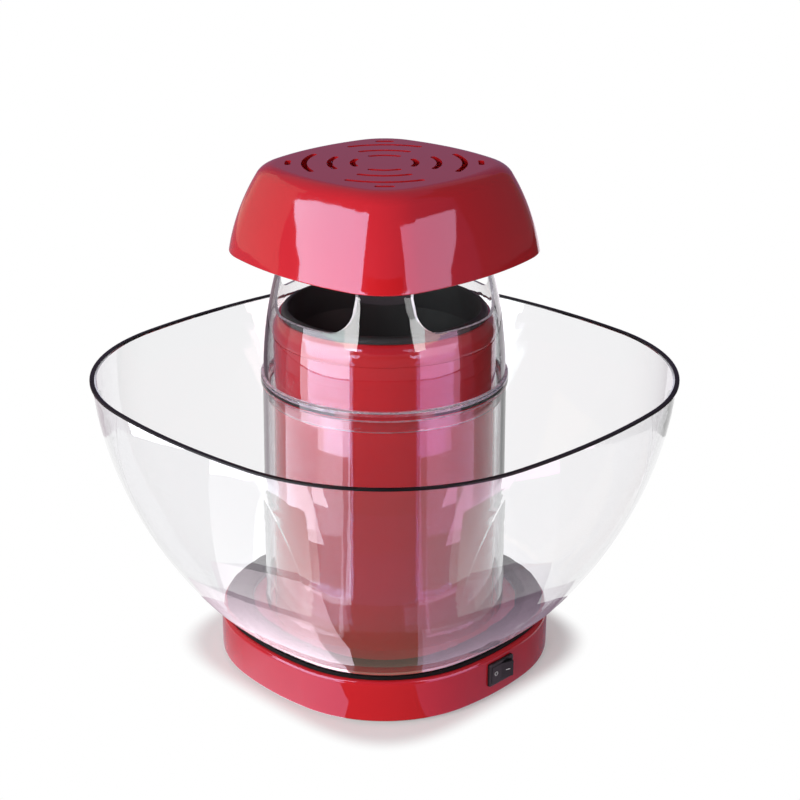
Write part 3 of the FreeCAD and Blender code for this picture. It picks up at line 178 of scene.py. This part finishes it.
class Finish:
    """A material being made, with the few kinds of node that the finishes here share."""

    def __init__(self, name):
        self.material = bpy.data.materials.new(name)
        self.material.use_nodes = True
        self.tree = self.material.node_tree
        self.shader = self.tree.nodes["Principled BSDF"]
        self.output = self.tree.nodes["Material Output"]
        self.place = None

    def node(self, kind, **settings):
        item = self.tree.nodes.new(kind)
        for name, value in settings.items():
            setattr(item, name, value)
        return item

    def link(self, source, target):
        self.tree.links.new(source, target)

    def set(self, **values):
        """Set the shader's own sockets; an underscore in a name stands for a space."""
        for name, value in values.items():
            self.shader.inputs[name.replace("_", " ")].default_value = value

    def coordinates(self):
        if self.place is None:
            self.place = self.node("ShaderNodeTexCoord").outputs["Object"]
        return self.place

    def noise(self, size, detail=2, stretch=(1, 1, 1)):
        """Cloudy values from 0 to 1 whose lumps are about size across, stretched along the axes."""
        mapping = self.node("ShaderNodeMapping")
        mapping.inputs["Scale"].default_value = [1 / factor for factor in stretch]
        self.link(self.coordinates(), mapping.inputs["Vector"])
        texture = self.node("ShaderNodeTexNoise")
        texture.inputs["Scale"].default_value = 1 / size
        texture.inputs["Detail"].default_value = detail
        self.link(mapping.outputs[0], texture.inputs["Vector"])
        return texture.outputs["Fac"]

    def span(self, value, low, high, start=0.3, end=0.7):
        """Run from low to high, smoothly, as a value goes from start to end, and hold it outside them."""
        item = self.node("ShaderNodeMapRange")
        item.interpolation_type = "SMOOTHSTEP"
        item.inputs["From Min"].default_value = start
        item.inputs["From Max"].default_value = end
        item.inputs["To Min"].default_value = low
        item.inputs["To Max"].default_value = high
        self.link(value, item.inputs["Value"])
        return item.outputs["Result"]

    def combine(self, operation, *values):
        item = self.node("ShaderNodeMath", operation=operation)
        for index, value in enumerate(values):
            self.link(value, item.inputs[index])
        return item.outputs[0]

    def colours(self, factor, first, second):
        item = self.node("ShaderNodeMix", data_type="RGBA")
        item.inputs["A"].default_value = (*first, 1)
        item.inputs["B"].default_value = (*second, 1)
        self.link(factor, item.inputs["Factor"])
        return item.outputs["Result"]

    def relief(self, height, depth, under=None):
        """A normal bumped by depth metres of height, on top of another normal where one is given."""
        item = self.node("ShaderNodeBump")
        item.inputs["Strength"].default_value = 1
        item.inputs["Distance"].default_value = depth
        self.link(height, item.inputs["Height"])
        if under is not None:
            self.link(under, item.inputs["Normal"])
        return item.outputs["Normal"]

    def colour(self, source):
        self.link(source, self.shader.inputs["Base Color"])

    def roughness(self, source):
        self.link(source, self.shader.inputs["Roughness"])

    def normal(self, source):
        self.link(source, self.shader.inputs["Normal"])

    def surface(self, shader):
        self.link(shader.outputs[0], self.output.inputs["Surface"])


# Camera and world

def add_camera():
    data = bpy.data.cameras.new("camera")
    data.sensor_width = SENSOR_WIDTH
    data.lens = SENSOR_WIDTH * FOCAL_PIXELS / IMAGE_SIDE
    data.shift_x = 0.5 - AIM_PIXEL_X / IMAGE_SIDE
    data.shift_y = AIM_PIXEL_Y / IMAGE_SIDE - 0.5
    camera = add_object("camera", data)
    back = back_vector(CAMERA_AZIMUTH, CAMERA_ELEVATION)
    camera.location = AIM_POINT + back * CAMERA_DISTANCE
    camera.rotation_euler = (-back).to_track_quat("-Z", "Y").to_euler()
    bpy.context.scene.camera = camera


def add_world():
    """Dim all-round light, a white background, and lilac-grey surroundings for reflections."""
    world = bpy.data.worlds.new("studio")
    bpy.context.scene.world = world
    world.use_nodes = True
    tree = world.node_tree
    shader = tree.nodes["Background"]
    shader.inputs["Color"].default_value = WORLD_LIGHT
    path = tree.nodes.new("ShaderNodeLightPath")
    for ray, colour in (
        ("Is Glossy Ray", SURROUNDINGS), ("Is Transmission Ray", BACKGROUND), ("Is Camera Ray", BACKGROUND),
    ):
        seen = tree.nodes.new("ShaderNodeBackground")
        seen.inputs["Color"].default_value = colour
        shader = mix_shaders(tree, path.outputs[ray], shader, seen)
    tree.links.new(shader.outputs[0], tree.nodes["World Output"].inputs["Surface"])


# Lamps and cards

def add_lamp(name, azimuth, distance, low, high, width, power):
    """An upright soft lamp that faces the object's axis, between two heights, and isn't seen in the gloss.

    The azimuth counts from the object's front, and power is in watts for each square metre.
    """
    data = bpy.data.lights.new(name, "AREA")
    data.shape = "RECTANGLE"
    data.size = width
    data.size_y = high - low
    data.energy = power * width * (high - low)
    lamp = add_object(name, data)
    away = back_vector(azimuth, 0)
    lamp.location = away * distance + Vector((0, 0, (low + high) / 2))
    lamp.rotation_euler = away.to_track_quat("Z", "Y").to_euler()
    lamp.visible_camera = False
    lamp.visible_glossy = False
    lamp.visible_transmission = False


def add_card(name, colour, strength, rows, last_strength=None):
    """A card round the object, seen only in its gloss, whose strength may run to another along its width.

    Each row is a distance from the axis, a height, and the first and last azimuth there, in degrees from
    the camera's.
    """
    finish = Finish(name)
    finish.tree.nodes.remove(finish.shader)
    glow = finish.node("ShaderNodeEmission")
    glow.inputs["Color"].default_value = (*colour, 1)
    glow.inputs["Strength"].default_value = strength
    if last_strength is not None:
        ramp = finish.node("ShaderNodeAttribute", attribute_name="ramp")
        finish.link(ramp.outputs["Fac"], glow.inputs["Strength"])
    finish.surface(glow)
    columns = CARD_STEPS + 1
    points = []
    for distance, height, first, last in rows:
        for step in range(columns):
            around = back_vector(CAMERA_AZIMUTH + first + (last - first) * step / CARD_STEPS, 0) * distance
            points.append((around.x, around.y, height))
    card = add_mesh(name, points, grid_faces(len(rows), columns), finish.material)
    if last_strength is not None:
        ramp = card.data.attributes.new("ramp", "FLOAT", "POINT")
        for index in range(len(points)):
            ramp.data[index].value = strength + (last_strength - strength) * (index % columns) / CARD_STEPS
    card.visible_camera = False
    card.visible_diffuse = False
    card.visible_transmission = False
    card.visible_shadow = False


def upright(distance, *rows):
    """Rows of an upright card at one distance: a height, and the first and last azimuth."""
    return [(distance, *row) for row in rows]


def wall(low, high, first, last):
    """Rows of an upright card between two heights and two azimuths."""
    return upright(CARD_DISTANCE, (low, first, last), (high, first, last))


def lying(*rows):
    """Rows of a card that lies on the floor: a distance, and the first and last azimuth."""
    return [(distance, 0, first, last) for distance, first, last in rows]


def patch(near, far, first, last):
    """Rows of a card that lies on the floor between two distances and two azimuths."""
    return lying((near, first, last), (far, first, last))


def add_lamps():
    """Broad lamps that light the surfaces."""
    add_lamp("key", azimuth=-78, distance=1.2, low=0.2, high=0.9, width=0.9, power=23.0)
    add_lamp("fill", azimuth=60, distance=1.6, low=0.0, high=1.0, width=1.0, power=2.0)
    add_lamp("back_fill", azimuth=160, distance=1.6, low=0.0, high=1.0, width=1.0, power=8.0)


def add_soft_boxes():
    """Bright cards whose outlines show as patches on the lid, the tower and the posts between the windows."""
    add_card("soft_box_left", ICE, 9.0, upright(
        CARD_DISTANCE,
        (FOOT_TOP, -35, -80), (0.3, -37, -80), (0.47, -35, -86), (0.63, -33.5, -95),
        (0.76, -33.5, -77), (0.9, -33.5, -55), (1.04, -33.5, -34.5),
    ))
    add_card("soft_box_left_foot", LAVENDER, 8.0, upright(
        CARD_DISTANCE, (CARD_BOTTOM, -31, -82), (FOOT_TOP, -31, -81),
    ))
    add_card("soft_box_right", SALMON, 6.3, upright(
        CARD_DISTANCE,
        (FOOT_TOP, 34, 71), (0.3, 35, 71), (0.67, 32, 83), (0.77, 31.5, 57), (0.87, 31, 32),
    ))
    add_card("soft_box_right_foot", ORCHID, 3.9, upright(
        CARD_DISTANCE, (CARD_BOTTOM, 31.5, 72), (FOOT_TOP, 31.5, 71),
    ))
    add_card("strip_left", WHITE, 11.5, upright(
        STRIP_DISTANCE, (0.208, -23, -34), (0.22, -22, -34), (0.245, -21.5, -34), (0.268, -22, -34),
    ))
    add_card("strip_right", WHITE, 9.0, upright(
        STRIP_DISTANCE, (0.208, 25, 34), (0.22, 24, 34), (0.245, 22.5, 34), (0.268, 21.5, 34),
    ))
    add_card("strip_left_high", WHITE, 11.5, upright(
        POST_STRIP_DISTANCE, (0.2415, -16.4, -24), (0.2475, -16.7, -24), (0.2585, -17.5, -24),
    ))
    add_card("strip_right_high", WHITE, 4.0, upright(
        POST_STRIP_DISTANCE, (0.2415, 17, 24), (0.2475, 15, 24), (0.2585, 14, 24),
    ))


def add_walls():
    """Dimmer cards that stand behind, before and beside the object."""
    add_card("soft_box_rear", PALE_LILAC, 1.5, wall(low=-0.3, high=0.15, first=140, last=190))
    add_card("wall_rear", VIOLET, 0.33, wall(low=0.25, high=0.9, first=140, last=222))
    add_card("wall_front", BLUSH, 0.04, wall(low=FRONT_FOOT_TOP, high=0.42, first=-30, last=30))
    add_card("wall_front_foot", BLUSH, 0.3, wall(low=CARD_BOTTOM, high=FRONT_FOOT_TOP, first=-30, last=30))
    add_card("wall_low", CORAL, 0.35, wall(low=-1.2, high=-0.3, first=100, last=245))
    add_card("reflector", PEACH, 1.1, upright(CARD_DISTANCE, (FOOT_TOP, -90, -150), (0.9, -97, -150)))
    add_card("flag", WHITE, 0.2, wall(low=FOOT_TOP, high=1.5, first=85, last=138))
    add_card("flag_foot", WHITE, 0.08, wall(low=-0.25, high=FOOT_TOP, first=74, last=138))


def add_table_cards(side, colour, *pieces):
    """Cards on the floor round one side of the base, each of which goes on where the one before it ends.

    Each piece is its first and last azimuth, its outer distance, and its first and last strength.
    """
    for first, last, end, strength, last_strength in pieces:
        rows = patch(TABLE_START, end, first, last)
        add_card(f"table_{side}_{abs(first)}", colour, strength, rows, last_strength)


def add_floor_cards():
    """Cards on the floor: a table for the base to mirror, and pools of light further out for the bowl."""
    add_table_cards(
        "left", PALE_ROSE,
        (-31, -60, TABLE_END, 2.6, 1.9), (-60, -78, TABLE_END, 1.9, 0.85),
        (-78, -90, TABLE_SIDE_END, 0.85, 0.6), (-90, -130, TABLE_SIDE_END, 0.6, 0.4),
    )
    front_edge = ((TABLE_START, -12.5), (0.125, -15.5), (0.155, -25), (TABLE_END, -30.5))
    left_of_edge = [(distance, azimuth, -31) for distance, azimuth in front_edge]
    right_of_edge = [(distance, azimuth, 15) for distance, azimuth in front_edge]
    add_card("table_left_near", PALE_ROSE, 2.6, lying(*left_of_edge))
    add_card("table_front", APRICOT, 0.3, lying(*right_of_edge))
    add_table_cards(
        "right", PINK,
        (15, 50, TABLE_END, 0.85, 0.6), (50, 75, TABLE_END, 0.6, 0.3), (75, 110, TABLE_SIDE_END, 0.3, 0.2),
    )
    add_card("pool_left", WHITE, 2.0, patch(POOL_START, POOL_END, first=-31, last=-60))
    for side, beside_table, past_table, last in (("left", -78, -60, -175), ("right", 75, 60, 175)):
        add_card(f"pool_far_{side}", WHITE, 1.0, lying(
            (TABLE_SIDE_END, beside_table, last), (TABLE_END, beside_table, last),
            (POOL_START, past_table, last), (FAR_POOL_END, past_table, last),
        ))
    add_card("pool_right", WHITE, 1.2, patch(POOL_START, POOL_END, first=31, last=60))


# Floor

def floor_material():
    """A pale floor that keeps the object's shadow near it and runs into the background further out."""
    finish = Finish("floor")
    finish.tree.nodes.remove(finish.shader)
    diffuse = finish.node("ShaderNodeBsdfDiffuse")
    diffuse.inputs["Color"].default_value = FLOOR_COLOUR
    glow = finish.node("ShaderNodeEmission")
    glow.inputs["Color"].default_value = BACKGROUND
    # Lines of equal distance are rounded squares, like the base
    squares = finish.node("ShaderNodeVectorMath", operation="MULTIPLY")
    finish.link(finish.coordinates(), squares.inputs[0])
    finish.link(finish.coordinates(), squares.inputs[1])
    length = finish.node("ShaderNodeVectorMath", operation="LENGTH")
    finish.link(squares.outputs[0], length.inputs[0])
    distance = finish.combine("SQRT", length.outputs["Value"])
    reach = finish.span(distance, FLOOR_NEAR_GLOW, 1.0, FLOOR_NEAR, FLOOR_FAR)
    path = finish.node("ShaderNodeLightPath")
    seen = finish.combine("MAXIMUM", path.outputs["Is Camera Ray"], path.outputs["Is Transmission Ray"])
    share = finish.combine("MULTIPLY", seen, reach)
    finish.surface(mix_shaders(finish.tree, share, diffuse, glow))
    return finish.material


def add_floor():
    points = [(x, y, 0) for x, y in circle(FLOOR_RADIUS, FLOOR_STEPS)]
    floor = add_mesh("floor", points, [tuple(range(FLOOR_STEPS))], floor_material())
    floor.visible_glossy = False


# Materials

def gloss_red():
    """Polished red plastic: faint flow clouds, handling haze and a fine ripple left by the mould."""
    finish = Finish("gloss_red_plastic")
    finish.set(IOR=RED_IOR, Specular_Tint=RED_SHEEN)
    finish.colour(finish.colours(finish.noise(60 * MM), RED_DARK, RED_LIGHT))
    finish.roughness(finish.span(finish.noise(35 * MM, detail=4), low=0.035, high=0.07))
    ripple = finish.relief(finish.noise(9 * MM, detail=1), depth=9 * MICRON)
    finish.normal(finish.relief(finish.noise(1.2 * MM), depth=0.8 * MICRON, under=ripple))
    return finish.material


def clear_plastic(name, lamp_share, inner_share):
    """Clear polished plastic, faintly lilac through its thickness.

    It lets a share of the lamps' light through. What other surfaces mirror passes straight through it, and
    so does a share of what its own faces mirror. It is smooth enough for the two to be told apart.
    """
    finish = Finish(name)
    finish.set(Base_Color=CLEAR_TINT, IOR=CLEAR_IOR, Transmission_Weight=1.0)
    finish.roughness(finish.span(finish.noise(50 * MM, detail=4), low=0.0, high=0.003))
    finish.normal(finish.relief(finish.noise(30 * MM, detail=1), depth=15 * MICRON))
    path = finish.node("ShaderNodeLightPath")

    def passing(share):
        shader = finish.node("ShaderNodeBsdfTransparent")
        shader.inputs["Color"].default_value = (share, share, share, 1)
        return shader

    def by_ray(ray, for_others, for_it):
        return mix_shaders(finish.tree, path.outputs[ray], for_others, for_it)

    mirrored = by_ray("Is Singular Ray", passing(MIRRORED_SHARE), passing(inner_share))
    seen = by_ray("Is Reflection Ray", finish.shader, mirrored)
    finish.surface(by_ray("Is Shadow Ray", seen, passing(lamp_share)))
    absorb = finish.node("ShaderNodeVolumeAbsorption")
    absorb.inputs["Color"].default_value = CLEAR_DEPTH_TINT
    absorb.inputs["Density"].default_value = CLEAR_DENSITY
    finish.link(absorb.outputs[0], finish.output.inputs["Volume"])
    return finish.material


def frosted_edge_painted_highlight():
    """Clear plastic's cut and moulded edges, frosted, with a painted highlight: a whitish, faintly lilac
    colour that stands in for the light they catch.
    """
    finish = Finish("clear_plastic_edge_painted_highlight")
    finish.set(IOR=CLEAR_IOR, Transmission_Weight=0.35)
    clouds = finish.noise(10 * MM, detail=3)
    finish.colour(finish.colours(clouds, (0.66, 0.64, 0.73), (0.80, 0.79, 0.86)))
    finish.roughness(finish.span(finish.noise(6 * MM, detail=3), low=0.15, high=0.4))
    finish.normal(finish.relief(finish.noise(2 * MM), depth=10 * MICRON))
    return finish.material


def moulded(name, dark, light, smooth, rough, grain, depth, shine=0.5):
    """Moulded plastic, rubber or paint with a fine even grain."""
    finish = Finish(name)
    finish.set(IOR=MOULDED_IOR, Specular_IOR_Level=shine)
    finish.colour(finish.colours(finish.noise(20 * MM, detail=3), dark, light))
    finish.roughness(finish.span(finish.noise(12 * MM, detail=4), smooth, rough))
    finish.normal(finish.relief(finish.noise(grain, detail=3), depth))
    return finish.material


def metal(name, dark, light, smooth, rough, stretch, depth):
    """Metal with fine marks drawn out along the axes that stretch names."""
    finish = Finish(name)
    finish.set(Metallic=1.0)
    marks = finish.noise(METAL_MARK, detail=3, stretch=stretch)
    finish.colour(finish.colours(finish.noise(15 * MM, detail=3), dark, light))
    finish.roughness(finish.span(marks, smooth, rough))
    finish.normal(finish.relief(marks, depth))
    return finish.material


def mica():
    """Pale heat-proof sheet with overlapping flakes."""
    finish = Finish("mica_board")
    flakes = finish.node("ShaderNodeTexVoronoi")
    flakes.inputs["Scale"].default_value = 1 / MICA_FLAKE
    finish.link(finish.coordinates(), flakes.inputs["Vector"])
    finish.colour(finish.colours(flakes.outputs["Distance"], (0.42, 0.33, 0.20), (0.62, 0.54, 0.38)))
    finish.roughness(finish.span(finish.noise(4 * MM, detail=3), low=0.35, high=0.6))
    finish.normal(finish.relief(flakes.outputs["Distance"], depth=20 * MICRON))
    return finish.material


def dress(material, *names):
    for name in names:
        NODES[name].data.materials.clear()
        NODES[name].data.materials.append(material)


def dress_cut_edges(material, name):
    """Give a clear piece's window edges and flange their own material."""
    mesh = NODES[name].data
    mesh.materials.append(material)
    for face in mesh.polygons:
        outward = Vector((face.center.x, face.center.y, 0)).normalized()
        if abs(face.normal.dot(outward)) < CUT_EDGE_LIMIT:
            face.material_index = 1


def dress_shell():
    """The red, clear and black pieces, most of which show."""
    dress(gloss_red(), "base_housing", "tower_housing", "lid")
    dress(clear_plastic("clear_bowl_plastic", BOWL_LAMP_SHARE, BOWL_INNER_SHARE), "bowl")
    dress(clear_plastic("clear_chimney_plastic", CHIMNEY_LAMP_SHARE, CHIMNEY_INNER_SHARE), "chimney")
    # The chimney's window edges and flange get a frosted finish with a whitish painted highlight
    dress_cut_edges(frosted_edge_painted_highlight(), "chimney")
    gloss_black = moulded(
        "gloss_black", dark=(0.008, 0.008, 0.009), light=(0.014, 0.014, 0.015),
        smooth=0.16, rough=0.28, grain=0.9 * MM, depth=2 * MICRON, shine=0.45,
    )
    dress(gloss_black, "switch_bezel", "switch_rocker")
    satin_black = moulded(
        "satin_black", dark=(0.004, 0.004, 0.005), light=(0.008, 0.008, 0.009),
        smooth=0.3, rough=0.45, grain=0.9 * MM, depth=3 * MICRON, shine=0.15,
    )
    dress(satin_black, "bowl_rim_trim")
    matt_black = moulded(
        "matt_black_plastic", dark=(0.022, 0.022, 0.024), light=(0.032, 0.032, 0.034),
        smooth=0.5, rough=0.65, grain=0.6 * MM, depth=8 * MICRON, shine=0.2,
    )
    dress(matt_black, "bottom_cover", "cord_gland", "funnel_collar")
    rubber = moulded(
        "rubber", dark=(0.004, 0.004, 0.004), light=(0.008, 0.008, 0.008),
        smooth=0.6, rough=0.85, grain=0.8 * MM, depth=20 * MICRON, shine=0.1,
    )
    dress(rubber, "foot_front_left", "foot_front_right", "foot_rear_left", "foot_rear_right")
    # The bowl's seat ring is black rubber and is also painted shade: it fills the dark band of shade between
    # the bowl and the base
    dress(rubber, "bowl_seat_ring", "chamber_seal")


def dress_works():
    """The screws, and the motor, fan, heater and wiring pieces inside."""
    plated_steel = metal(
        "plated_steel", dark=(0.50, 0.50, 0.52), light=(0.62, 0.62, 0.64),
        smooth=0.22, rough=0.38, stretch=(1, 1, 4), depth=2 * MICRON,
    )
    dress(plated_steel, "cover_screws", "tower_screws", "housing_screws", "motor_screws")
    dress(plated_steel, "motor_shaft", "motor_can")
    heater_wire = metal(
        "heater_wire", dark=(0.16, 0.13, 0.12), light=(0.32, 0.29, 0.28),
        smooth=0.35, rough=0.6, stretch=(1, 1, 1), depth=2 * MICRON,
    )
    dress(heater_wire, "heater_coil")
    spun_aluminium = metal(
        "spun_aluminium", dark=(0.70, 0.70, 0.71), light=(0.80, 0.80, 0.81),
        smooth=0.20, rough=0.42, stretch=(40, 40, 1), depth=4 * MICRON,
    )
    dress(spun_aluminium, "heater_housing", "popping_chamber", "thermostat")
    brass = metal(
        "brass", dark=(0.60, 0.42, 0.17), light=(0.74, 0.55, 0.26),
        smooth=0.2, rough=0.4, stretch=(1, 1, 5), depth=2 * MICRON,
    )
    dress(brass, "motor_bushes", "switch_terminals", "thermal_fuse")
    dark_iron = metal(
        "dark_iron", dark=(0.07, 0.07, 0.075), light=(0.14, 0.14, 0.145),
        smooth=0.45, rough=0.7, stretch=(20, 20, 1), depth=8 * MICRON,
    )
    dress(dark_iron, "motor_rotor", "motor_magnets")
    grey_plastic = moulded(
        "grey_plastic", dark=(0.17, 0.17, 0.18), light=(0.22, 0.22, 0.23),
        smooth=0.4, rough=0.55, grain=0.7 * MM, depth=8 * MICRON,
    )
    dress(grey_plastic, "fan_housing", "fan_impeller", "motor_end_cap")
    circuit_board = moulded(
        "circuit_board", dark=(0.20, 0.13, 0.06), light=(0.28, 0.19, 0.09),
        smooth=0.35, rough=0.5, grain=0.6 * MM, depth=6 * MICRON,
    )
    dress(circuit_board, "rectifier_board")
    dress(mica(), "heater_boards")


# Switch marks

def rocker_frame(side):
    """The frame of a rocker half's face: x along the face, y up and z out of it.

    Side is -1 for the left half and 1 for the right one.
    """
    tip = Matrix.Translation(SWITCH_PIVOT) @ Matrix.Rotation(-ROCKER_SLOPE, 4, "Z")
    across = Vector((math.cos(ROCKER_SLOPE), -side * math.sin(ROCKER_SLOPE), 0))
    upward = Vector((0, 0, 1))
    outward = across.cross(upward)
    middle = Vector((side * MARK_PLACE, -ROCKER_FACE - MARK_PLACE * math.tan(ROCKER_SLOPE), 0))
    face = Matrix((across, upward, outward)).transposed().to_4x4()
    return tip @ Matrix.Translation(middle) @ face


def raised_mark(name, outer, inner, side, material):
    """A thin raised mark inside a loop of points in the face's plane, open inside the inner loop if any."""
    frame_of_face = rocker_frame(side)
    count = len(outer)
    loops = [outer, inner] if inner else [outer]
    points = []
    for height in (0.0, MARK_HEIGHT):
        for loop in loops:
            points.extend(frame_of_face @ Vector((x, y, height)) for x, y in loop)
    top = count * len(loops)
    faces = []
    for index in range(count):
        after = (index + 1) % count
        faces.append((index, after, top + after, top + index))
        if inner:
            faces.append((count + after, count + index, top + count + index, top + count + after))
            faces.append((top + index, top + after, top + count + after, top + count + index))
            faces.append((after, index, count + index, count + after))
    if not inner:
        faces.append(tuple(range(top, top + count)))
        faces.append(tuple(reversed(range(count))))
    mark = add_mesh(name, points, faces, material)
    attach(mark, "rocker")


def add_switch_marks():
    """A ring, for off, on the left half of the rocker, and a bar, for on, on the right half."""
    material = moulded(
        "mark_paint", dark=(0.55, 0.55, 0.55), light=(0.66, 0.66, 0.66),
        smooth=0.4, rough=0.55, grain=0.4 * MM, depth=2 * MICRON,
    )
    ring = circle(MARK_RADIUS, MARK_STEPS)
    hole = circle(MARK_RADIUS - MARK_STROKE, MARK_STEPS)
    raised_mark("switch_mark_off", ring, hole, -1, material)
    half = MARK_STROKE / 2
    bar = [(-MARK_RADIUS, -half), (MARK_RADIUS, -half), (MARK_RADIUS, half), (-MARK_RADIUS, half)]
    raised_mark("switch_mark_on", bar, None, 1, material)


bpy.context.scene.view_settings.view_transform = "Standard"
add_camera()
add_world()
add_lamps()
add_soft_boxes()
add_walls()
add_floor_cards()
add_floor()
dress_shell()
dress_works()
add_switch_marks()
